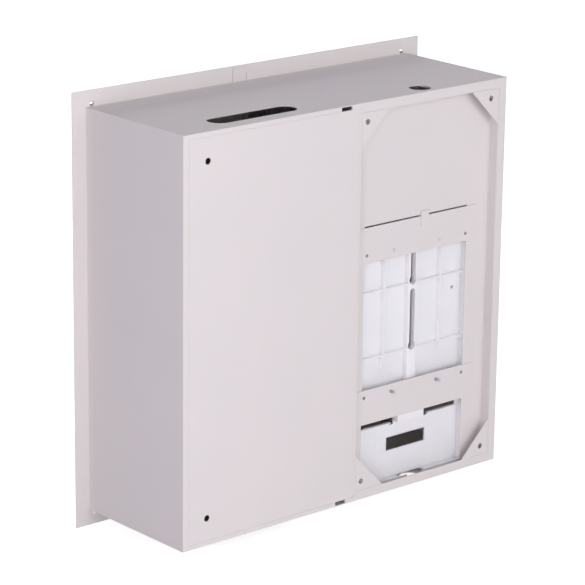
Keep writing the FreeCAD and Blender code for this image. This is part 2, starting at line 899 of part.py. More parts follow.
def add_board_ribs(part, full_rise, left, right, roof):
    """Ribs, the raised channel of the meter slots, the lips of the side slots and the screw bosses."""
    low_rib = "(%s + low_rib_height)" % body_floor
    high_rib = "(%s + high_rib_height)" % body_floor
    crest = "(%s + rib_rise)" % web_rear
    root = "(%s - board_web / 2)" % web_rear
    for height in (low_rib, high_rib):
        rib(part, left, height, right, "(%s + rib_thick)" % height, "rib_rise")
    for sign in ("-", "+"):
        rib_left = "(%s %s rib_reach - rib_thick / 2)" % (axis_x, sign)
        rib_right = "(%s + rib_thick)" % rib_left
        rib(part, rib_left, low_rib, rib_right, roof, "rib_rise")
        tail = sideways(part, rib_left)
        outline(tail, [
            (root, "(%s + rib_thick)" % low_rib),
            (crest, "(%s + rib_thick)" % low_rib),
            (crest, low_rib),
            (web_rear, "(%s - rib_tail)" % low_rib),
            (root, "(%s - rib_tail)" % low_rib),
        ])
        pad(tail, "rib_thick")
    channel_foot_z = "(%s + channel_foot)" % body_floor
    channel = ("(%s - channel_half_width)" % axis_x, "(%s + channel_half_width)" % axis_x)
    rib(part, channel[0], channel_foot_z, channel[1], roof, "rib_rise")
    hollow = upright(part, board_front)
    hollow_left = "(%s + channel_wall)" % channel[0]
    hollow_right = "(%s - channel_wall)" % channel[1]
    hollow_foot = "(%s + channel_wall)" % channel_foot_z
    rectangle(hollow, hollow_left, hollow_foot, hollow_right, "(%s - channel_wall)" % roof)
    pocket(hollow, "(board_web + rib_rise - channel_crown)")
    for near, far in side_slot_ends():
        edges = sorted((near, far), key=number)
        lip_top = "(%s + side_slot_foot)" % body_floor
        rib(part, edges[0], "(%s - side_slot_lip)" % lip_top, edges[1], lip_top, "side_slot_lip_rise")
    pad_left = "(%s - centre_pad_half_width)" % axis_x
    pad_right = "(%s + centre_pad_half_width)" % axis_x
    pad_foot = "(%s + centre_pad_foot)" % body_floor
    rib(part, pad_left, pad_foot, pad_right, "(%s + rib_thick)" % channel_foot_z, "centre_pad_height")
    bosses = upright(part, plate_rear)
    for height in (upper_hole_height, lower_hole_height):
        for sign in ("-", "+"):
            circle(bosses, "(%s %s inner_bolt_reach)" % (axis_x, sign), height, "boss_radius")
    pad(bosses, "(%s + steel + board_web / 2)" % full_rise)


def side_slot_ends():
    """The start and the far end of each side slot: the left one begins at the centre pad."""
    right_start = "(%s + centre_pad_half_width)" % axis_x
    left_start = "(%s - centre_pad_half_width - side_slot_gap)" % axis_x
    return [
        (right_start, "(%s + side_slot_left_reach)" % axis_x),
        (left_start, "(%s - side_slot_right_reach)" % axis_x),
    ]


def add_board_openings(part, foot):
    """Meter slots, screw holes, cable window and the notch in the board's floor."""
    low_key = "(%s + low_rib_height + keyhole_rise)" % body_floor
    high_key = "(%s + high_rib_height + keyhole_rise)" % body_floor
    bridge = "(%s + high_rib_height - meter_slot_bridge - meter_slot_half_width)" % body_floor
    slot = upright(part, plate_front)
    oblong(slot, (axis_x, low_key), (axis_x, bridge), "meter_slot_half_width")
    slot_top = "(%s + meter_slot_top)" % body_floor
    oblong(slot, (axis_x, high_key), (axis_x, slot_top), "meter_slot_half_width")
    cut_through(slot)
    keyholes = upright(part, plate_front)
    for height in (low_key, high_key):
        circle(keyholes, axis_x, height, "keyhole_radius")
    cut_through(keyholes)
    side_slots = upright(part, plate_front)
    slot_foot = "(%s + side_slot_foot)" % body_floor
    notch_foot = "(%s - side_slot_notch_depth)" % slot_foot
    slot_roof = "(%s + side_slot_top)" % body_floor
    for sign, (near, far) in zip(("+", "-"), side_slot_ends()):
        notch_end = "(%s %s side_slot_notch_width)" % (near, sign)
        outline(side_slots, [
            (near, notch_foot),
            (notch_end, notch_foot),
            (notch_end, slot_foot),
            (far, slot_foot),
            (far, slot_roof),
            (near, slot_roof),
        ])
    cut_through(side_slots)
    holes = upright(part, plate_front)
    for level_z in (upper_hole_height, lower_hole_height):
        for sign in ("-", "+"):
            for reach in ("inner_bolt_reach", "outer_hole_reach"):
                circle(holes, "(%s %s %s)" % (axis_x, sign, reach), level_z, "bar_hole_radius")
    cut_through(holes)
    window = upright(part, plate_front)
    middle = "(%s + cable_window_offset)" % axis_x
    window_foot = "(%s + cable_window_foot)" % body_floor
    rectangle(
        window,
        "(%s - cable_window_width / 2)" % middle,
        window_foot,
        "(%s + cable_window_width / 2)" % middle,
        "(%s + cable_window_height)" % window_foot,
    )
    cut_through(window)
    notch = level(part, foot)
    circle(notch, "-cable_hole_from_middle", plate_front, "floor_notch_radius")
    pocket(notch, "board_wall", True)


def add_mould_marks(part):
    """Shallow ejector marks, the gate's mark and the knock-out line about the cable window."""
    marks = upright(part, web_rear)
    for sign in ("-", "+"):
        for height in ("ejector_low", "ejector_high"):
            x = "(%s %s ejector_reach)" % (axis_x, sign)
            circle(marks, x, "(%s + %s)" % (body_floor, height), "ejector_radius")
    circle(marks, axis_x, "(%s + gate_mark_height)" % body_floor, "gate_mark_radius")
    pocket(marks, "mould_mark_depth", True)
    ring = upright(part, web_rear)
    middle = "(%s + cable_window_offset)" % axis_x
    height = "(%s + cable_window_foot + cable_window_height / 2)" % body_floor
    start = ("(%s - knockout_reach + knockout_radius)" % middle, height)
    end = ("(%s + knockout_reach - knockout_radius)" % middle, height)
    oblong(ring, start, end, "knockout_radius")
    oblong(ring, start, end, "(knockout_radius - mould_mark_width)")
    pocket(ring, "mould_mark_depth", True)


# Front frame

def make_front_frame():
    """Flat flange frame with two door openings and low pads at its corners."""
    part = new_body("front_frame")
    plate = upright(part, flange_rear)
    edge = "(%s + flange_overhang)" % side
    roof = "(%s + flange_overhang)" % body_roof
    rectangle(plate, "-" + edge, "0", edge, roof)
    low = "(%s + door_end_margin)" % body_floor
    high = "(%s - door_end_margin)" % body_roof
    outer = "(%s - door_side_margin)" % side
    rectangle(plate, "-" + outer, low, "-mullion_left", high)
    rectangle(plate, "mullion_right", low, outer, high)
    pad(plate, "steel")
    pads = upright(part, flange_rear)
    near = "(%s + frame_pad_gap)" % side
    far = "(%s + frame_pad_width)" % near
    for foot in ("frame_pad_drop", "(%s - frame_pad_drop - frame_pad_height)" % roof):
        head = "(%s + frame_pad_height)" % foot
        rectangle(pads, near, foot, far, head)
        rectangle(pads, "-" + far, foot, "-" + near, head)
    pad(pads, "frame_pad_thick", True)
    holes = upright(part, flange_rear)
    for x, z in rivet_places():
        circle(holes, x, z, "rivet_shank_radius")
    cut_through(holes)
    return part


def rivet_places():
    """The four corners where the frame is riveted, just outside the body's roof and floor."""
    across = "(%s - rivet_from_side)" % side
    low = "(%s - rivet_rise)" % body_floor
    high = "(%s + rivet_rise)" % body_roof
    return [("-" + across, low), (across, low), ("-" + across, high), (across, high)]


def make_corner_rivets():
    """Domed rivets whose heads show behind the flange."""
    rivets = []
    for x, z in rivet_places():
        dome = doc.addObject("Part::Sphere", "dome")
        bind(dome, "Radius", "rivet_dome_radius")
        bind(dome, "Angle1", "acos(rivet_head_radius / rivet_dome_radius)")
        sink = "sqrt(rivet_dome_radius ^ 2 - rivet_head_radius ^ 2)"
        place_at(dome, (x, "(%s - %s)" % (flange_rear, sink), z), "y")
        shank = rod((x, flange_front, z), "y", "rivet_shank_radius", "steel")
        front = "(%s - rivet_front_thick)" % flange_front
        foot = rod((x, front, z), "y", "rivet_front_radius", "rivet_front_thick")
        rivets.append(fuse([dome, shank, foot]))
    return group("corner_rivets", rivets)


def make_middle_post():
    """Channel behind the frame's middle bar, with end tabs that show above the roof."""
    part = new_body("middle_post")
    left = "-post_left"
    right = "post_right"
    back = "(%s + post_depth)" % flange_rear
    low = "(%s + fit_gap)" % inner_floor
    high = "(%s - fit_gap)" % inner_roof
    section = level(part, low)
    outline(section, [
        (left, flange_rear),
        (right, flange_rear),
        (right, back),
        ("(%s - post_lip)" % right, back),
        ("(%s - post_lip)" % right, "(%s - steel)" % back),
        ("(%s - steel)" % right, "(%s - steel)" % back),
        ("(%s - steel)" % right, "(%s + steel)" % flange_rear),
        ("(%s + steel)" % left, "(%s + steel)" % flange_rear),
        ("(%s + steel)" % left, "(%s - steel)" % back),
        ("(%s + post_lip)" % left, "(%s - steel)" % back),
        ("(%s + post_lip)" % left, back),
        (left, back),
    ])
    pad(section, "(%s - %s)" % (high, low))
    tabs = upright(part, flange_rear)
    low_tab_top = "(%s + post_low_tab_rise)" % body_roof
    high_tab_top = "(%s + post_high_tab_rise)" % body_roof
    low_tab_foot = "(%s - post_low_tab_rise)" % body_floor
    high_tab_foot = "(%s - post_high_tab_rise)" % body_floor
    tab_left = "-post_low_tab_left"
    rectangle(tabs, tab_left, low_tab_foot, "post_low_tab_right", low_tab_top)
    rectangle(tabs, "post_high_tab_left", high_tab_foot, right, high_tab_top)
    pad(tabs, "steel", True)
    return part


# Doors

def door_pan(label, left, right, hinge):
    """Pressed door with folded edges and pin holes in its upper and lower folds."""
    part = new_body(label)
    face = upright(part, flange_rear)
    rectangle(face, left, door_floor, right, door_roof)
    pad(face, "steel")
    fold = upright(part, door_back)
    rectangle(fold, left, door_floor, right, door_roof)
    rectangle(
        fold,
        "(%s + steel)" % left,
        "(%s + steel)" % door_floor,
        "(%s - steel)" % right,
        "(%s - steel)" % door_roof,
    )
    pad(fold, "(door_depth - steel)")
    pin_holes = level(part, door_floor)
    circle(pin_holes, hinge, hinge_y, "(hinge_pin_radius + running_fit)")
    cut_through(pin_holes)
    return part


def cut_lock_hole(part, x):
    hole = upright(part, flange_rear)
    circle(hole, x, lock_height, "(lock_body_radius + seam)")
    cut_through(hole)


def rounded_rectangle(sketch, left, low, right, high, radius):
    """Draw a rectangle with round corners, its corner centres held at formulas."""
    reach = number(radius)
    centres = [
        ("(%s - %s)" % (right, radius), "(%s - %s)" % (high, radius)),
        ("(%s + %s)" % (left, radius), "(%s - %s)" % (high, radius)),
        ("(%s + %s)" % (left, radius), "(%s + %s)" % (low, radius)),
        ("(%s - %s)" % (right, radius), "(%s + %s)" % (low, radius)),
    ]
    arcs = []
    for index, (x, y) in enumerate(centres):
        ring = Part.Circle(FreeCAD.Vector(number(x), number(y), 0), FreeCAD.Vector(0, 0, 1), reach)
        start = index * math.pi / 2
        arcs.append(sketch.addGeometry(Part.ArcOfCircle(ring, start, start + math.pi / 2)))
    for index in range(4):
        here = sketch.Geometry[arcs[index]].EndPoint
        there = sketch.Geometry[arcs[(index + 1) % 4]].StartPoint
        line = sketch.addGeometry(Part.LineSegment(here, there))
        sketch.addConstraint(Sketcher.Constraint("Tangent", arcs[index], 2, line, 1))
        sketch.addConstraint(Sketcher.Constraint("Tangent", line, 2, arcs[(index + 1) % 4], 1))
    for index in range(4):
        fix_point(sketch, arcs[index], 3, centres[index])
    for other in arcs[1:]:
        sketch.addConstraint(Sketcher.Constraint("Equal", arcs[0], other))
    place = sketch.addConstraint(Sketcher.Constraint("Radius", arcs[0], reach))
    bind(sketch, "Constraints[%d]" % place, radius)
    return sketch


def window_outline(sketch, grow):
    """The meter window's outline, grown by a formula, between equal margins of the meter door."""
    middle_z = "(%s + pane_window_middle)" % body_floor
    return rounded_rectangle(
        sketch,
        "(%s + pane_window_margin - %s)" % (meter_door_left, grow),
        "(%s - pane_window_height / 2 - %s)" % (middle_z, grow),
        "(%s - pane_window_margin + %s)" % (meter_door_right, grow),
        "(%s + pane_window_height / 2 + %s)" % (middle_z, grow),
        "(pane_window_corner + %s)" % grow,
    )


meter_door_left = "(door_side_margin + hinge_side_gap - %s)" % side
meter_door_right = "(-mullion_left - door_gap)"
distribution_door_left = "(mullion_right + door_gap)"
distribution_door_right = "(%s - door_side_margin - hinge_side_gap)" % side


def make_meter_door():
    part = door_pan("meter_door", meter_door_left, meter_door_right, "-" + hinge_x)
    cut_lock_hole(part, meter_lock_x)
    window = upright(part, flange_rear)
    window_outline(window, "0")
    cut_through(window)
    return part


def make_distribution_door():
    part = door_pan("distribution_door", distribution_door_left, distribution_door_right, hinge_x)
    cut_lock_hole(part, distribution_lock_x)
    return part


def seal_layer(part, back, thick, outer, inner):
    """One flat ring of the window seal, thickened towards the front."""
    ring = upright(part, back)
    window_outline(ring, outer)
    window_outline(ring, inner)
    return pad(ring, thick)


def make_window_seal():
    """Rubber ring that grips the door's edge and the pane between its lips."""
    part = new_body("window_seal")
    groove = "(pane_thick + 2 * pane_play)"
    back = "((%s + %s + %s) / 2 + seal_lip_thick)" % (flange_front, flange_rear, groove)
    seal_layer(part, back, "(%s + 2 * seal_lip_thick)" % groove, "(-seam)", "(-seal_core)")
    front_groove = "(%s - seal_lip_thick - %s)" % (back, groove)
    outer_lip = "(%s - %s)" % (back, flange_rear)
    seal_layer(part, back, "seal_lip_thick", "(-seam)", "(-seal_inner_lip)")
    seal_layer(part, front_groove, "seal_lip_thick", "(-seam)", "(-seal_inner_lip)")
    seal_layer(part, back, outer_lip, "seal_lip", "(-seal_core)")
    seal_layer(part, flange_front, outer_lip, "seal_lip", "(-seal_core)")
    return part


def make_window_pane():
    """Clear pane held in the inner groove of the seal."""
    part = new_body("window_pane")
    sheet_sketch = upright(part, "((%s + %s) / 2 + pane_thick / 2)" % (flange_front, flange_rear))
    window_outline(sheet_sketch, "(-seal_core - pane_play)")
    pad(sheet_sketch, "pane_thick")
    return part


def make_hinge_brackets(label, x):
    """Two angles behind the frame that carry the pins of one door."""
    brackets = []
    left = "(%s - bracket_half_width)" % x
    width = "(2 * bracket_half_width)"
    for leaf_low, wall_low in (
        ("(%s + hinge_play)" % door_roof, "(%s + hinge_play)" % door_roof),
        (
            "(%s - hinge_play - bracket_thick)" % door_floor,
            "(%s - hinge_play - bracket_height)" % door_floor,
        ),
    ):
        leaf = block((left, flange_rear, leaf_low), (width, "bracket_depth", "bracket_thick"))
        wall = block((left, flange_rear, wall_low), (width, "bracket_thick", "bracket_height"))
        hole = rod((x, hinge_y, leaf_low), "z", "hinge_pin_radius", "bracket_thick")
        brackets.append(cut(fuse([leaf, wall]), hole))
    return group(label, brackets)


def make_hinge_pins(label, x):
    """Two headed pins, one down into the door's upper fold and one up into its lower fold."""
    length = "(bracket_thick + hinge_play + hinge_pin_reach)"
    head = ("hinge_pin_head_radius", "hinge_pin_head_thick")
    upper_leaf_top = "(%s + hinge_play + bracket_thick)" % door_roof
    lower_leaf_foot = "(%s - hinge_play - bracket_thick)" % door_floor
    upper = fuse([
        rod((x, hinge_y, "(%s - %s)" % (upper_leaf_top, length)), "z", "hinge_pin_radius", length),
        rod((x, hinge_y, upper_leaf_top), "z", *head),
    ])
    lower = fuse([
        rod((x, hinge_y, lower_leaf_foot), "z", "hinge_pin_radius", length),
        rod((x, hinge_y, "(%s - hinge_pin_head_thick)" % lower_leaf_foot), "z", *head),
    ])
    return group(label, [upper, lower])


# Locks

def make_lock(name, x):
    """Quarter-turn lock: barrel and nut on the door, plug, cam and screw that turn in it."""
    return [
        make_lock_barrel(name, x),
        make_lock_nut(name, x),
        make_lock_plug(name, x),
        make_lock_cam(name, x),
        make_cam_screw(name, x),
    ]


def make_lock_barrel(name, x):
    """Flanged barrel with a round recess for the key and a bore for the plug."""
    face = "(%s - lock_flange)" % flange_front
    flange = rod((x, face, lock_height), "y", "lock_flange_radius", "lock_flange")
    shell = rod((x, flange_front, lock_height), "y", "lock_body_radius", "lock_body_length")
    recess = rod((x, face, lock_height), "y", "lock_recess_radius", "lock_recess_depth")
    bore_radius = "(plug_radius + running_fit)"
    bore = rod((x, face, lock_height), "y", bore_radius, "(lock_flange + lock_body_length)")
    return finish_part(cut(fuse([flange, shell]), fuse([recess, bore])), name + "_lock_barrel")


def make_lock_nut(name, x):
    """Flat hexagon nut that clamps the barrel to the door."""
    nut = hexagon((x, flange_rear, lock_height), "y", "lock_nut_across", "lock_nut_thick")
    hole = rod((x, flange_rear, lock_height), "y", "(lock_body_radius + running_fit)", "lock_nut_thick")
    return finish_part(cut(nut, hole), name + "_lock_nut")


def make_lock_plug(name, x):
    """Turning plug: three-sided key stem, collar, round body and square end for the cam."""
    recess_floor = "(%s - lock_flange + lock_recess_depth)" % flange_front
    collar_back = "(%s - plug_play)" % recess_floor
    collar_front = "(%s - plug_collar_thick)" % collar_back
    stem = doc.addObject("Part::Prism", "stem")
    stem.Polygon = 3
    bind(stem, "Circumradius", "plug_head_radius")
    bind(stem, "Height", "plug_head_height")
    place_at(stem, (x, "(%s - plug_head_height)" % collar_front, lock_height), "y")
    collar = rod((x, collar_front, lock_height), "y", "plug_collar_radius", "plug_collar_thick")
    body_length = "(%s - %s)" % (cam_front, collar_back)
    barrel = rod((x, collar_back, lock_height), "y", "plug_radius", body_length)
    square = block(
        ("(%s - plug_square / 2)" % x, cam_front, "(%s - plug_square / 2)" % lock_height),
        ("plug_square", "cam_thick", "plug_square"),
    )
    hole_start = "(%s + cam_thick - cam_screw_depth)" % cam_front
    hole = rod((x, hole_start, lock_height), "y", "cam_screw_radius", "cam_screw_depth")
    return finish_part(cut(fuse([stem, collar, barrel, square]), hole), name + "_lock_plug")


def make_lock_cam(name, x):
    """Flat tongue on the plug's square, hanging down while the door is unlocked."""
    part = new_body(name + "_lock_cam")
    tongue = upright(part, cam_back)
    tip = "(%s - cam_reach + cam_half_width)" % lock_height
    oblong(tongue, (x, tip), (x, lock_height), "cam_half_width")
    half = "(plug_square / 2 + plug_play / 2)"
    rectangle(
        tongue,
        "(%s - %s)" % (x, half),
        "(%s - %s)" % (lock_height, half),
        "(%s + %s)" % (x, half),
        "(%s + %s)" % (lock_height, half),
    )
    pad(tongue, "cam_thick")
    return part


def make_cam_screw(name, x):
    """Screw that holds the cam on the plug."""
    start = "(%s - cam_screw_depth)" % cam_back
    shank = rod((x, start, lock_height), "y", "(cam_screw_radius - plug_play / 2)", "cam_screw_depth")
    head = rod((x, cam_back, lock_height), "y", "cam_screw_head_radius", "cam_screw_head_thick")
    return finish_part(fuse([shank, head]), name + "_cam_screw")


# Distribution compartment

def make_rail_support(label, wall, inwards):
    """Angle on a side wall that carries the rails and the terminal strips."""
    part = new_body(label)
    foot = "(%s + support_end_gap)" % inner_floor
    section = level(part, foot)
    back = "(%s + support_sheet)" % rail_base
    side_face = "(%s %s support_sheet)" % (wall, inwards)
    edge = "(%s %s support_face)" % (wall, inwards)
    outline(section, [
        (wall, rail_base),
        (edge, rail_base),
        (edge, back),
        (side_face, back),
        (side_face, "(%s + support_side)" % rail_base),
        (wall, "(%s + support_side)" % rail_base),
    ])
    pad(section, "(%s - support_end_gap - %s)" % (inner_roof, foot))
    holes = upright(part, rail_base)
    for height in rail_heights + strip_heights:
        x = "(%s %s fixing_inset)" % (wall, inwards)
        circle(holes, x, height, "(fixing_radius + fixing_clearance)")
    cut_through(holes)
    return part


def make_rail(label, height):
    """Top-hat mounting rail with a row of slots."""
    part = new_body(label)
    section = sideways(part, "(%s + rail_end_gap)" % partition_right)
    front = "(%s - rail_depth)" % rail_base
    lip_back = "(%s + rail_sheet)" % front
    web_front = "(%s - rail_sheet)" % rail_base
    edge = "rail_height / 2"
    outer = "rail_web_height / 2"
    inner = "(rail_web_height / 2 - rail_sheet)"
    half = [(front, edge), (lip_back, edge), (lip_back, outer), (rail_base, outer)]
    hollow = [(web_front, inner), (front, inner)]
    below = [(y, "(%s - %s)" % (height, z)) for y, z in half]
    above = [(y, "(%s + %s)" % (height, z)) for y, z in reversed(half)]
    inner_above = [(y, "(%s + %s)" % (height, z)) for y, z in reversed(hollow)]
    inner_below = [(y, "(%s - %s)" % (height, z)) for y, z in hollow]
    outline(section, below + above + inner_above + inner_below)
    pad(section, "(%s - %s - 2 * rail_end_gap)" % (inner_side, partition_right))
    slots = upright(part, rail_base)
    middle = "((%s + %s) / 2)" % (inner_side, partition_right)
    reach = "(rail_hole_length - rail_hole_width) / 2"
    for index in range(rail_hole_count):
        x = "(%s + %s * rail_hole_pitch)" % (middle, index - (rail_hole_count - 1) / 2)
        start = ("(%s - %s)" % (x, reach), height)
        end = ("(%s + %s)" % (x, reach), height)
        oblong(slots, start, end, "rail_hole_width / 2")
    cut_through(slots)
    cut_fixing_holes(part, height)
    return part


def cut_fixing_holes(part, height):
    holes = upright(part, rail_base)
    for x in (left_fixing_x, right_fixing_x):
        circle(holes, x, height, "(fixing_radius + fixing_clearance)")
    cut_through(holes)


def make_fixing_screws(label, heights, thick):
    """Screws through rails or strips into the two supports."""
    screws = []
    face = "(%s - %s)" % (rail_base, thick)
    head_start = "(%s - fixing_head_thick)" % face
    length = "(%s + support_sheet + fixing_tail)" % thick
    for height in heights:
        for x in (left_fixing_x, right_fixing_x):
            head = rod((x, head_start, height), "y", "fixing_head_radius", "fixing_head_thick")
            shank = rod((x, face, height), "y", "fixing_radius", length)
            screws.append(fuse([head, shank]))
    return group(label, screws)


def make_strip(label, height):
    """Flat strip between the supports for a terminal bar and two cover posts."""
    part = new_body(label)
    flat = upright(part, rail_base)
    rectangle(
        flat,
        "(%s + rail_end_gap)" % partition_right,
        "(%s - strip_height / 2)" % height,
        "(%s - rail_end_gap)" % inner_side,
        "(%s + strip_height / 2)" % height,
    )
    pad(flat, "support_sheet")
    cut_fixing_holes(part, height)
    return part


def make_terminal_bar(name, height):
    """Drilled bar, the two holders it lies in, and its clamping screws."""
    front = "(%s - holder_depth)" % strip_front
    left = "(%s - terminal_bar_length / 2)" % opening_middle
    low = "(%s - terminal_bar_height / 2)" % height
    bar = block((left, front, low), ("terminal_bar_length", "terminal_bar_depth", "terminal_bar_height"))
    holes = []
    screws = []
    for index in range(terminal_count):
        x = "(%s + %s * terminal_pitch)" % (opening_middle, index - (terminal_count - 1) / 2)
        wire_start = (x, "(%s + terminal_bar_depth / 2)" % front, low)
        holes.append(rod(wire_start, "z", "terminal_wire_radius", "terminal_bar_height"))
        holes.append(rod((x, front, height), "y", "terminal_screw_radius", "terminal_screw_reach"))
        shank = rod((x, front, height), "y", "terminal_screw_radius", "terminal_screw_reach")
        head_start = (x, "(%s - terminal_screw_head_thick)" % front, height)
        head = rod(head_start, "y", "terminal_screw_head_radius", "terminal_screw_head_thick")
        screws.append(fuse([shank, head]))
    holders = []
    for holder_left in (left, "(%s + terminal_bar_length - holder_width)" % left):
        body = block(
            (holder_left, front, "(%s - holder_height / 2)" % height),
            ("holder_width", "holder_depth", "holder_height"),
        )
        groove = block(
            (holder_left, front, low),
            ("holder_width", "terminal_bar_depth", "terminal_bar_height"),
        )
        holders.append(cut(body, groove))
    return [
        finish_part(cut(bar, fuse(holes)), name + "_bar"),
        group(name + "_bar_holders", holders),
        group(name + "_bar_screws", screws),
    ]


def make_module_cover():
    """Touch cover with one long opening in front of each rail."""
    part = new_body("module_cover")
    low = "(%s + door_end_margin + cover_edge_gap)" % body_floor
    high = "(%s - door_end_margin - cover_edge_gap)" % body_roof
    face = upright(part, cover_rear)
    rectangle(face, cover_left, low, cover_right, high)
    for height in rail_heights:
        rectangle(
            face,
            "(%s + module_slot_margin)" % cover_left,
            "(%s - module_slot_height / 2)" % height,
            "(%s - module_slot_margin)" % cover_right,
            "(%s + module_slot_height / 2)" % height,
        )
    pad(face, "steel")
    fold = upright(part, cover_rear)
    rectangle(fold, cover_left, low, cover_right, high)
    rectangle(
        fold,
        "(%s + steel)" % cover_left,
        "(%s + steel)" % low,
        "(%s - steel)" % cover_right,
        "(%s - steel)" % high,
    )
    pad(fold, "cover_flange", True)
    holes = upright(part, cover_rear)
    for x, z in cover_post_places():
        circle(holes, x, z, "(cover_screw_radius + fixing_clearance)")
    cut_through(holes)
    return part


def cover_post_places():
    """The four places where the cover is screwed to its posts."""
    left = "(%s + cover_post_inset)" % cover_left
    right = "(%s - cover_post_inset)" % cover_right
    return [(x, z) for x in (left, right) for z in strip_heights]


def make_cover_posts():
    """Round posts on the strips, drilled for the cover screws."""
    posts = []
    length = "(%s - %s)" % (strip_front, cover_rear)
    for x, z in cover_post_places():
        post = rod((x, cover_rear, z), "y", "post_radius", length)
        hole = rod((x, cover_rear, z), "y", "cover_screw_radius", "cover_screw_depth")
        posts.append(cut(post, hole))
    return group("cover_posts", posts)


def make_cover_screws():
    screws = []
    for x, z in cover_post_places():
        head_start = (x, "(%s - cover_screw_head_thick)" % cover_front, z)
        head = rod(head_start, "y", "cover_screw_head_radius", "cover_screw_head_thick")
        shank = rod((x, cover_front, z), "y", "cover_screw_radius", "(steel + cover_screw_depth)")
        screws.append(fuse([head, shank]))
    return group("cover_screws", screws)


def make_earth_stud():
    """Welded stud with a collar on the outer wall of the meter compartment."""
    start = ("-" + inner_side, stud_y, stud_z)
    stud = rod(start, "x", "stud_radius", "stud_reach")
    collar = rod(start, "x", "stud_collar_radius", "stud_collar_thick")
    return finish_part(fuse([stud, collar]), "earth_stud")


def make_earth_nut():
    start = ("(stud_collar_thick - %s)" % inner_side, stud_y, stud_z)
    nut = hexagon(start, "x", "stud_nut_across", "stud_nut_thick")
    hole = rod(start, "x", "(stud_radius + running_fit)", "stud_nut_thick")
    return finish_part(cut(nut, hole), "earth_nut")


rail_heights = [
    "(%s + rail_middle - rail_pitch)" % body_floor,
    "(%s + rail_middle)" % body_floor,
    "(%s + rail_middle + rail_pitch)" % body_floor,
]
strip_heights = ["(%s + strip_inset)" % body_floor, "(%s - strip_inset)" % body_roof]
strip_front = "(%s - support_sheet)" % rail_base
opening_middle = "((mullion_right + %s - door_side_margin) / 2)" % side
stud_y = "(%s + stud_setback)" % flange_rear
stud_z = "(%s + stud_height)" % body_floor

housing = [
    make_end_sheet("roof_sheet", body_roof, inner_roof, "-"),
    make_end_sheet("floor_sheet", body_floor, inner_floor, "+"),
    make_side_wall("meter_side_wall", "-", "meter_rim", "meter_rim"),
    make_side_wall("distribution_side_wall", "+", "distribution_side_rim", "distribution_end_rim"),
    make_distribution_back(),
    make_partition_wall(),
    make_meter_plate(),
]
housing += make_gussets()
housing += [make_front_frame(), make_corner_rivets(), make_middle_post()]

board = [
    make_meter_board(),
    make_crossbar("upper_crossbar", upper_bar_top, upper_hole_height),
    make_crossbar("lower_crossbar", "lower_bar_top", lower_hole_height),
    make_board_screws("upper_board_screws", upper_hole_height, "0"),
    make_board_screws("lower_board_screws", lower_hole_height, "stud_length"),
]

doors = [make_meter_door(), make_window_seal(), make_window_pane(), make_distribution_door()]
doors += [
    make_hinge_brackets("meter_hinge_brackets", "-" + hinge_x),
    make_hinge_pins("meter_hinge_pins", "-" + hinge_x),
    make_hinge_brackets("distribution_hinge_brackets", hinge_x),
    make_hinge_pins("distribution_hinge_pins", hinge_x),
]
doors += make_lock("meter", meter_lock_x) + make_lock("distribution", distribution_lock_x)

interior = [
    make_rail_support("rail_support_left", partition_right, "+"),
    make_rail_support("rail_support_right", inner_side, "-"),
    make_rail("din_rail_bottom", rail_heights[0]),
    make_rail("din_rail_middle", rail_heights[1]),
    make_rail("din_rail_top", rail_heights[2]),
    make_fixing_screws("rail_screws", rail_heights, "rail_sheet"),
    make_strip("earth_strip", strip_heights[0]),
    make_strip("neutral_strip", strip_heights[1]),
    make_fixing_screws("strip_screws", strip_heights, "support_sheet"),
    make_module_cover(),
    make_cover_posts(),
    make_cover_screws(),
    make_earth_stud(),
    make_earth_nut(),
]
interior += make_terminal_bar("earth", strip_heights[0])
interior += make_terminal_bar("neutral", strip_heights[1])

doc.recompute()

# Checks, then one file for each sub-part
broken = [item.Name for item in doc.Objects if "Invalid" in item.State or "Error" in item.State]
if broken:
    raise RuntimeError("objects that did not rebuild: %s" % broken)
os.makedirs("parts", exist_ok=True)
for piece in housing + board + doors + interior:
    if piece.Shape.isNull() or not piece.Shape.isValid():
        raise RuntimeError("bad shape: %s" % piece.Label)
    piece.Shape.exportStep("parts/%s.step" % piece.Label)
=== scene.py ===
import json
import math

import bpy
from mathutils import Matrix, Vector

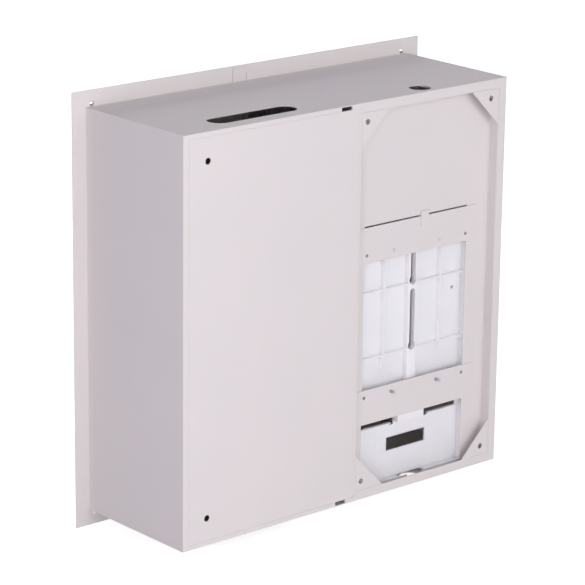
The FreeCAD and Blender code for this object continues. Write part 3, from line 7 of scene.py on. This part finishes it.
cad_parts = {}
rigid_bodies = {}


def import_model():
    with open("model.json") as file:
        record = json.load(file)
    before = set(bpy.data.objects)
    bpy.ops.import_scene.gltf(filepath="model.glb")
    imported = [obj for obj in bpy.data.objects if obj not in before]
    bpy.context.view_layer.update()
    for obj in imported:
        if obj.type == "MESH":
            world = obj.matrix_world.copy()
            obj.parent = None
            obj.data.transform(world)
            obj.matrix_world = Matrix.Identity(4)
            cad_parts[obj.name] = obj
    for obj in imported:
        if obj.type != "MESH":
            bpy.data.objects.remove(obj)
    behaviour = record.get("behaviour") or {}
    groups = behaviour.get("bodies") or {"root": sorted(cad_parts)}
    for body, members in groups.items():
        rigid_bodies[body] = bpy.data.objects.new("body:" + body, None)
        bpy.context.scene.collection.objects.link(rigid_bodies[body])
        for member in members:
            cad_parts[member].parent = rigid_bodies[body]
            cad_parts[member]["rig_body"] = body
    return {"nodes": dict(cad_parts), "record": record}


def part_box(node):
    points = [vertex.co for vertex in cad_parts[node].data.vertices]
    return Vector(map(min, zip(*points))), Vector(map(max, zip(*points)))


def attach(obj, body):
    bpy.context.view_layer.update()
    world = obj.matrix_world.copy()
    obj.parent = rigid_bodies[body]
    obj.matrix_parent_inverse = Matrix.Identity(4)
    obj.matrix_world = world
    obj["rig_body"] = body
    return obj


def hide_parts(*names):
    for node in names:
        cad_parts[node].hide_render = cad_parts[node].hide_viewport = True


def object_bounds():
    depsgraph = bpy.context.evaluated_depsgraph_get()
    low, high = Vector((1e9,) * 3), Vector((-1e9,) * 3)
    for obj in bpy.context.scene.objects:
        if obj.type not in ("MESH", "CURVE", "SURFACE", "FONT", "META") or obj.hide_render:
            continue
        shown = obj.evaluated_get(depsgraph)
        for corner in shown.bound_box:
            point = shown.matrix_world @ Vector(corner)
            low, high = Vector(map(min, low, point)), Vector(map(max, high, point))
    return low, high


# Flush-mounted electric meter box, seen from its open back, on a plain studio floor.
# Everything is in metres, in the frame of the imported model.

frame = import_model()
nodes = frame["nodes"]
cad_low, cad_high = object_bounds()


# Small helpers

def linear(code):
    """Turn an sRGB hex colour into the linear values that a shader takes."""
    parts = [int(code[place:place + 2], 16) / 255 for place in (1, 3, 5)]
    return tuple(v / 12.92 if v <= 0.04045 else ((v + 0.055) / 1.055) ** 2.4 for v in parts) + (1.0,)


def add(tree, kind, sockets=None, **settings):
    """Add a shader node, set it up, and fill its sockets with values or with other nodes' outputs."""
    node = tree.nodes.new(kind)
    for name, value in settings.items():
        setattr(node, name, value)
    for name, value in (sockets or {}).items():
        if isinstance(value, bpy.types.NodeSocket):
            tree.links.new(value, node.inputs[name])
        else:
            node.inputs[name].default_value = value
    return node


def new_material(name):
    """An empty material with the object's own coordinates in metres."""
    material = bpy.data.materials.new(name)
    material.use_nodes = True
    tree = material.node_tree
    tree.nodes.clear()
    place = add(tree, "ShaderNodeTexCoord").outputs["Object"]
    return material, tree, place


# Finishes

def powder_coated_steel():
    """Polyester powder coat, sprayed and baked: satin, with a faint orange peel and an even, faintly
    pinkish light grey that hardly changes over a panel."""
    material, tree, place = new_material("powder_coated_steel")
    # The real orange peel is about 1 mm across. It is drawn at 2.4 mm so that it still shows a step away.
    peel = add(tree, "ShaderNodeTexNoise", {"Vector": place, "Scale": 1000 / 2.4, "Detail": 3.0})
    cloud = add(tree, "ShaderNodeTexNoise", {"Vector": place, "Scale": 1000 / 110, "Detail": 3.0})
    tone = add(tree, "ShaderNodeMix", {
        "Factor": cloud.outputs["Fac"], 6: linear("#E2DCD8"), 7: linear("#DCD7D4"),
    }, data_type="RGBA")
    gloss = add(tree, "ShaderNodeMapRange", {
        "Value": peel.outputs["Fac"], "From Min": 0.3, "From Max": 0.7, "To Min": 0.48, "To Max": 0.6,
    })
    bump = add(tree, "ShaderNodeBump", {
        "Height": peel.outputs["Fac"], "Distance": 0.00005, "Strength": 0.6,
    })
    coat = add(tree, "ShaderNodeBsdfPrincipled", {
        "Base Color": tone.outputs[2], "Roughness": gloss.outputs["Result"], "IOR": 1.4,
        "Normal": bump.outputs["Normal"],
    })
    add(tree, "ShaderNodeOutputMaterial", {"Surface": coat.outputs[0]})
    return material


def zinc_plated_steel():
    """Bright zinc plate on rolled strip: a cool grey metal with soft cloudy patches and fine rolling
    marks along X."""
    material, tree, place = new_material("zinc_plated_steel")
    patches = add(tree, "ShaderNodeTexNoise", {
        "Vector": place, "Scale": 1000 / 9, "Detail": 4.0, "Roughness": 0.6,
    })
    stretched = add(tree, "ShaderNodeMapping", {"Vector": place, "Scale": (0.06, 1.0, 1.0)})
    rolling = add(tree, "ShaderNodeTexNoise", {"Vector": stretched.outputs["Vector"], "Scale": 1000 / 0.9})
    tone = add(tree, "ShaderNodeMix", {
        "Factor": patches.outputs["Fac"], 6: linear("#CACDCF"), 7: linear("#A5A9AD"),
    }, data_type="RGBA")
    gloss = add(tree, "ShaderNodeMapRange", {
        "Value": patches.outputs["Fac"], "From Min": 0.3, "From Max": 0.7, "To Min": 0.27, "To Max": 0.42,
    })
    bump = add(tree, "ShaderNodeBump", {
        "Height": rolling.outputs["Fac"], "Distance": 0.00002, "Strength": 0.5,
    })
    plate = add(tree, "ShaderNodeBsdfPrincipled", {
        "Base Color": tone.outputs[2], "Metallic": 1.0, "Roughness": gloss.outputs["Result"],
        "Normal": bump.outputs["Normal"],
    })
    add(tree, "ShaderNodeOutputMaterial", {"Surface": plate.outputs[0]})
    return material


def nickel_plated_rivet():
    """Nickel plate on a pressed dome: nearly a mirror, with light handling marks."""
    material, tree, place = new_material("nickel_plated_rivet")
    marks = add(tree, "ShaderNodeTexNoise", {"Vector": place, "Scale": 1000 / 1.8, "Detail": 3.0})
    tone = add(tree, "ShaderNodeMix", {
        "Factor": marks.outputs["Fac"], 6: linear("#D8D5D2"), 7: linear("#B6B4B2"),
    }, data_type="RGBA")
    gloss = add(tree, "ShaderNodeMapRange", {
        "Value": marks.outputs["Fac"], "From Min": 0.3, "From Max": 0.7, "To Min": 0.13, "To Max": 0.27,
    })
    plate = add(tree, "ShaderNodeBsdfPrincipled", {
        "Base Color": tone.outputs[2], "Metallic": 1.0, "Roughness": gloss.outputs["Result"],
    })
    add(tree, "ShaderNodeOutputMaterial", {"Surface": plate.outputs[0]})
    return material


def moulded_white_plastic():
    """Injection-moulded polystyrene: cool white and satin. Light sinks a few millimetres into it, so
    ribs and corners glow softly. Faint flow marks run down from the gate, and one small rusty fleck sits
    on the web."""
    material, tree, place = new_material("moulded_white_plastic")
    flow = add(tree, "ShaderNodeMapping", {"Vector": place, "Scale": (1.0, 1.0, 0.35)})
    marks = add(tree, "ShaderNodeTexNoise", {
        "Vector": flow.outputs["Vector"], "Scale": 1000 / 40, "Detail": 3.0,
    })
    grain = add(tree, "ShaderNodeTexNoise", {"Vector": place, "Scale": 1000 / 1.4})
    tone = add(tree, "ShaderNodeMix", {
        "Factor": marks.outputs["Fac"], 6: linear("#F4F3F3"), 7: linear("#EDECED"),
    }, data_type="RGBA")
    # The fleck's full colour reaches to the first radius and fades out at the second.
    # The grain pulls both in by up to the fray, so the outline is ragged.
    fleck_centre = (-0.1934, 0.0691, 0.2560)
    full_radius, fade_radius, fray = 0.0026, 0.0038, 0.0022
    away = add(tree, "ShaderNodeVectorMath", {0: place, 1: fleck_centre}, operation="DISTANCE")
    frayed = add(tree, "ShaderNodeMath", {0: grain.outputs["Fac"], 1: fray}, operation="MULTIPLY")
    reach = add(tree, "ShaderNodeMath", {0: away.outputs["Value"], 1: frayed.outputs[0]}, operation="ADD")
    fleck = add(tree, "ShaderNodeMapRange", {
        "Value": reach.outputs[0], "From Min": full_radius, "From Max": fade_radius,
        "To Min": 0.85, "To Max": 0.0,
    })
    tone = add(tree, "ShaderNodeMix", {
        "Factor": fleck.outputs["Result"], 6: tone.outputs[2], 7: linear("#B8683A"),
    }, data_type="RGBA")
    gloss = add(tree, "ShaderNodeMapRange", {
        "Value": marks.outputs["Fac"], "From Min": 0.3, "From Max": 0.7, "To Min": 0.34, "To Max": 0.46,
    })
    bump = add(tree, "ShaderNodeBump", {
        "Height": grain.outputs["Fac"], "Distance": 0.00002, "Strength": 0.5,
    })
    plastic = add(tree, "ShaderNodeBsdfPrincipled", {
        "Base Color": tone.outputs[2], "Roughness": gloss.outputs["Result"], "IOR": 1.59,
        "Subsurface Weight": 0.8, "Subsurface Radius": (1.0, 0.97, 0.95), "Subsurface Scale": 0.005,
        "Normal": bump.outputs["Normal"],
    })
    add(tree, "ShaderNodeOutputMaterial", {"Surface": plastic.outputs[0]})
    return material


def seal_rubber():
    """Extruded EPDM rubber: soft black with a dry, slightly greyish bloom."""
    material, tree, place = new_material("seal_rubber")
    bloom = add(tree, "ShaderNodeTexNoise", {"Vector": place, "Scale": 1000 / 6, "Detail": 4.0})
    skin = add(tree, "ShaderNodeTexNoise", {"Vector": place, "Scale": 1000 / 0.8})
    tone = add(tree, "ShaderNodeMix", {
        "Factor": bloom.outputs["Fac"], 6: linear("#171718"), 7: linear("#2E2E2F"),
    }, data_type="RGBA")
    gloss = add(tree, "ShaderNodeMapRange", {
        "Value": bloom.outputs["Fac"], "From Min": 0.3, "From Max": 0.7, "To Min": 0.6, "To Max": 0.78,
    })
    bump = add(tree, "ShaderNodeBump", {
        "Height": skin.outputs["Fac"], "Distance": 0.00003, "Strength": 0.6,
    })
    rubber = add(tree, "ShaderNodeBsdfPrincipled", {
        "Base Color": tone.outputs[2], "Roughness": gloss.outputs["Result"],
        "Normal": bump.outputs["Normal"],
    })
    add(tree, "ShaderNodeOutputMaterial", {"Surface": rubber.outputs[0]})
    return material


def clear_polycarbonate():
    """Extruded clear sheet: see-through, with a trace of smoke and a gloss a little soft from handling."""
    material, tree, place = new_material("clear_polycarbonate")
    haze = add(tree, "ShaderNodeTexNoise", {"Vector": place, "Scale": 1000 / 30, "Detail": 4.0})
    gloss = add(tree, "ShaderNodeMapRange", {
        "Value": haze.outputs["Fac"], "From Min": 0.3, "From Max": 0.7, "To Min": 0.01, "To Max": 0.05,
    })
    sheet = add(tree, "ShaderNodeBsdfPrincipled", {
        "Base Color": linear("#E4E9EA"), "IOR": 1.585, "Transmission Weight": 1.0,
        "Roughness": gloss.outputs["Result"],
    })
    add(tree, "ShaderNodeOutputMaterial", {"Surface": sheet.outputs[0]})
    return material


def drawn_brass():
    """Drawn brass bar: warm yellow metal with drawing lines along X and light tarnish."""
    material, tree, place = new_material("drawn_brass")
    tarnish = add(tree, "ShaderNodeTexNoise", {"Vector": place, "Scale": 1000 / 12, "Detail": 4.0})
    stretched = add(tree, "ShaderNodeMapping", {"Vector": place, "Scale": (0.05, 1.0, 1.0)})
    lines = add(tree, "ShaderNodeTexNoise", {"Vector": stretched.outputs["Vector"], "Scale": 1000 / 0.7})
    tone = add(tree, "ShaderNodeMix", {
        "Factor": tarnish.outputs["Fac"], 6: linear("#DBB866"), 7: linear("#A5833A"),
    }, data_type="RGBA")
    gloss = add(tree, "ShaderNodeMapRange", {
        "Value": tarnish.outputs["Fac"], "From Min": 0.3, "From Max": 0.7, "To Min": 0.24, "To Max": 0.38,
    })
    bump = add(tree, "ShaderNodeBump", {
        "Height": lines.outputs["Fac"], "Distance": 0.00002, "Strength": 0.6,
    })
    brass = add(tree, "ShaderNodeBsdfPrincipled", {
        "Base Color": tone.outputs[2], "Metallic": 1.0, "Roughness": gloss.outputs["Result"],
        "Normal": bump.outputs["Normal"],
    })
    add(tree, "ShaderNodeOutputMaterial", {"Surface": brass.outputs[0]})
    return material


def moulded_polyamide(name, light, dark):
    """Moulded polyamide: an even, deep colour with a fine spark-eroded grain that takes off the shine."""
    material, tree, place = new_material(name)
    grain = add(tree, "ShaderNodeTexNoise", {"Vector": place, "Scale": 1000 / 1.0})
    shade = add(tree, "ShaderNodeTexNoise", {"Vector": place, "Scale": 1000 / 14})
    tone = add(tree, "ShaderNodeMix", {
        "Factor": shade.outputs["Fac"], 6: linear(light), 7: linear(dark),
    }, data_type="RGBA")
    gloss = add(tree, "ShaderNodeMapRange", {
        "Value": grain.outputs["Fac"], "From Min": 0.3, "From Max": 0.7, "To Min": 0.42, "To Max": 0.56,
    })
    bump = add(tree, "ShaderNodeBump", {
        "Height": grain.outputs["Fac"], "Distance": 0.00003, "Strength": 0.6,
    })
    plastic = add(tree, "ShaderNodeBsdfPrincipled", {
        "Base Color": tone.outputs[2], "Roughness": gloss.outputs["Result"], "IOR": 1.53,
        "Normal": bump.outputs["Normal"],
    })
    add(tree, "ShaderNodeOutputMaterial", {"Surface": plastic.outputs[0]})
    return material


finishes = {
    "grey_steel": powder_coated_steel(),
    "zinc_steel": zinc_plated_steel(),
    "rivet_steel": nickel_plated_rivet(),
    "white_board": moulded_white_plastic(),
    "black_rubber": seal_rubber(),
    "clear_pane": clear_polycarbonate(),
    "brass": drawn_brass(),
    "blue_plastic": moulded_polyamide("blue_polyamide", "#2A60B2", "#1A4588"),
    "green_plastic": moulded_polyamide("green_polyamide", "#35884D", "#226334"),
}
slot_of = {entry["node"]: entry["material_slot"] for entry in frame["record"]["subparts"]}
for name, slot in slot_of.items():
    piece = nodes[name]
    if not piece.material_slots:
        piece.data.materials.append(None)
    for place in piece.material_slots:
        place.material = finishes[slot]


# Eased edges

sheet_edge = 0.0003
board_edge = 0.0008
fitting_edge = 0.0002
cross_depth = 0.0015


def head_centres(name, head_width):
    """Where a node's screw heads are, in X and Z: one in each corner of its box, however narrow that is."""
    low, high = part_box(name)
    # A round head's mesh falls a little short of its circle, so the places are rounded to 0.1 mm.
    columns = {round(low.x + head_width / 2, 4), round(high.x - head_width / 2, 4)}
    rows = {round(low.z + head_width / 2, 4), round(high.z - head_width / 2, 4)}
    return [(x, z) for x in sorted(columns) for z in sorted(rows)]


def press_cross(piece, x, face, z, across):
    """Press a cross recess for the driver into a screw head that looks along Y. Its two wings are a fifth
    as wide as they are long."""
    for wide, high in ((across, across / 5), (across / 5, across)):
        bpy.ops.object.select_all(action="DESELECT")
        bpy.ops.mesh.primitive_cube_add(size=1, location=(x, face, z), scale=(wide, 2 * cross_depth, high))
        wing = bpy.context.object
        bite = piece.modifiers.new("bite", "BOOLEAN")
        bite.operation = "DIFFERENCE"
        bite.object = wing
        bpy.context.view_layer.objects.active = piece
        bpy.ops.object.modifier_apply(modifier="bite")
        bpy.data.meshes.remove(wing.data)


def ease_edges(name, width, crosses=()):
    """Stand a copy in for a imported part, with its sharp edges rounded as its making leaves them."""
    piece = bpy.data.objects.new(name + "_eased", nodes[name].data.copy())
    bpy.context.scene.collection.objects.link(piece)
    bpy.ops.object.select_all(action="DESELECT")
    piece.select_set(True)
    bpy.context.view_layer.objects.active = piece
    bpy.ops.mesh.customdata_custom_splitnormals_clear()
    bpy.ops.object.mode_set(mode="EDIT")
    bpy.ops.mesh.select_all(action="SELECT")
    bpy.ops.mesh.remove_doubles(threshold=0.000002)
    bpy.ops.mesh.dissolve_limited(angle_limit=math.radians(0.5))
    bpy.ops.object.mode_set(mode="OBJECT")
    for cross in crosses:
        press_cross(piece, *cross)
    bpy.ops.object.select_all(action="DESELECT")
    piece.select_set(True)
    bpy.context.view_layer.objects.active = piece
    rounding = piece.modifiers.new("rounding", "BEVEL")
    rounding.width = width
    rounding.segments = 2
    rounding.limit_method = "ANGLE"
    rounding.angle_limit = math.radians(50)
    rounding.harden_normals = True
    bpy.ops.object.shade_smooth_by_angle(angle=math.radians(35))
    bpy.ops.object.modifier_apply(modifier="rounding")
    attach(piece, nodes[name]["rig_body"])
    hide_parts(name)


def finish_screws(name, head_width, across, edge, looks_forward=True):
    """Ease a group of screws and press a cross into the face of each head."""
    low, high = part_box(name)
    face = low.y if looks_forward else high.y
    ease_edges(name, edge, [(x, face, z, across) for x, z in head_centres(name, head_width)])


for name in ("roof_sheet", "floor_sheet", "meter_side_wall", "distribution_side_wall", "distribution_back",
             "partition_wall", "meter_plate", "gusset_lower_outer", "gusset_lower_inner",
             "gusset_upper_outer", "gusset_upper_inner", "front_frame", "middle_post", "upper_crossbar",
             "lower_crossbar", "module_cover", "meter_door", "distribution_door"):
    ease_edges(name, sheet_edge)
ease_edges("meter_board", board_edge)
finish_screws("cover_screws", 0.0100, 0.0054, 0.0006)
finish_screws("upper_board_screws", 0.0080, 0.0044, 0.0005)
finish_screws("lower_board_screws", 0.0080, 0.0044, 0.0005)
finish_screws("meter_cam_screw", 0.0090, 0.0048, 0.0005, looks_forward=False)
finish_screws("distribution_cam_screw", 0.0090, 0.0048, 0.0005, looks_forward=False)
for part in ("_lock_barrel", "_lock_plug", "_lock_nut", "_lock_cam", "_hinge_brackets"):
    for side in ("meter", "distribution"):
        ease_edges(side + part, fitting_edge)
ease_edges("earth_nut", fitting_edge)


# Studio

floor_size = 14
floor_gap = 0.0004
middle_height = (cad_low.z + cad_high.z) / 2


def seen_as_white(tree):
    """One for rays that the camera sees, straight, in a reflection or through the pane, and else zero."""
    rays = add(tree, "ShaderNodeLightPath").outputs
    seen = add(tree, "ShaderNodeMath", {
        0: rays["Is Camera Ray"], 1: rays["Is Glossy Ray"],
    }, operation="MAXIMUM")
    seen = add(tree, "ShaderNodeMath", {
        0: seen.outputs[0], 1: rays["Is Transmission Ray"],
    }, operation="MAXIMUM")
    return seen.outputs[0]


def studio_floor():
    """A pale floor: white to the camera and in reflections, but it keeps the object's shadow."""
    bpy.ops.object.select_all(action="DESELECT")
    bpy.ops.mesh.primitive_plane_add(size=floor_size, location=(0, 0, -floor_gap))
    floor = bpy.context.object
    floor.name = "studio_floor"
    material, tree = new_material("studio_floor_paint")[:2]
    level = add(tree, "ShaderNodeMath", {0: seen_as_white(tree), 1: 0.72}, operation="MULTIPLY")
    paint = add(tree, "ShaderNodeBsdfDiffuse", {"Color": linear("#FAFAFA")})
    glow = add(tree, "ShaderNodeEmission", {"Color": linear("#FFFFFF"), "Strength": level.outputs[0]})
    both = add(tree, "ShaderNodeAddShader", {0: paint.outputs[0], 1: glow.outputs[0]})
    add(tree, "ShaderNodeOutputMaterial", {"Surface": both.outputs[0]})
    floor.data.materials.append(material)


def studio_world():
    """Plain white surroundings for the camera, and a softer, cooler light from them for the object."""
    world = bpy.data.worlds.new("studio_world")
    bpy.context.scene.world = world
    world.use_nodes = True
    tree = world.node_tree
    tree.nodes.clear()
    seen = seen_as_white(tree)
    direction = add(tree, "ShaderNodeTexCoord").outputs["Generated"]
    height = add(tree, "ShaderNodeSeparateXYZ", {0: direction}).outputs["Z"]
    soft = add(tree, "ShaderNodeMapRange", {
        "Value": height, "From Min": 0.0, "From Max": 1.0, "To Min": 0.23, "To Max": 0.45,
    })
    level = add(tree, "ShaderNodeMapRange", {
        "Value": seen, "To Min": soft.outputs["Result"], "To Max": 1.0,
    })
    tint = add(tree, "ShaderNodeMix", {
        "Factor": seen, 6: linear("#F1ECFF"), 7: linear("#FFFFFF"),
    }, data_type="RGBA")
    back = add(tree, "ShaderNodeBackground", {
        "Color": tint.outputs[2], "Strength": level.outputs["Result"],
    })
    add(tree, "ShaderNodeOutputWorld", {"Surface": back.outputs[0]})


def hang_lamp(name, kind, towards, distance, level, colour="#FFFFFF"):
    """Aim a lamp at the middle of the box from some metres away."""
    light = bpy.data.lights.new(name, kind)
    light.energy = level
    light.color = linear(colour)[:3]
    lamp = bpy.data.objects.new(name, light)
    bpy.context.scene.collection.objects.link(lamp)
    lamp.location = Vector(towards).normalized() * distance + Vector((0, 0, middle_height))
    lamp.rotation_euler = Vector(towards).to_track_quat("Z", "Y").to_euler()
    return lamp


def studio_lamps():
    """A broad key behind the box, a nearer lamp that weakens along it, and a fill for the doors."""
    key = hang_lamp("key_lamp", "SUN", (0.06, 0.98, 0.10), 3, 1.80)
    key.data.angle = math.radians(60)
    near = hang_lamp("near_lamp", "AREA", (0.70, 0.64, 0.10), 2.1, 11.4, "#F8F4FF")
    near.data.shape = "DISK"
    near.data.size = 0.97
    near.visible_camera = False
    fill = hang_lamp("fill_lamp", "SUN", (-0.30, -0.95, 0.10), 3, 2.1)
    fill.data.angle = math.radians(45)
    fill.visible_glossy = False


def photo_camera():
    """The photograph's viewpoint, from a fit to the corners of the box and its flange."""
    azimuth, elevation, roll = math.radians(138.976), math.radians(16.570), math.radians(0.713)
    aside, above, distance = -0.0046, 0.2574, 3.5294
    away = Vector((
        math.sin(azimuth) * math.cos(elevation),
        -math.cos(azimuth) * math.cos(elevation),
        math.sin(elevation),
    ))
    right = Vector((0, 0, 1)).cross(away).normalized()
    up = away.cross(right)
    turned_right = right * math.cos(roll) + up * math.sin(roll)
    turned_up = up * math.cos(roll) - right * math.sin(roll)
    lens = bpy.data.cameras.new("photo_camera")
    lens.sensor_width = 36
    lens.lens = 173.67
    lens.clip_end = 50
    camera = bpy.data.objects.new("photo_camera", lens)
    bpy.context.scene.collection.objects.link(camera)
    turn = Matrix((turned_right, turned_up, away)).transposed().to_4x4()
    spot = turned_right * aside + turned_up * above + away * distance
    camera.matrix_world = Matrix.Translation(spot) @ turn
    bpy.context.scene.camera = camera


studio_floor()
studio_world()
studio_lamps()
photo_camera()
bpy.context.scene.view_settings.view_transform = "Standard"
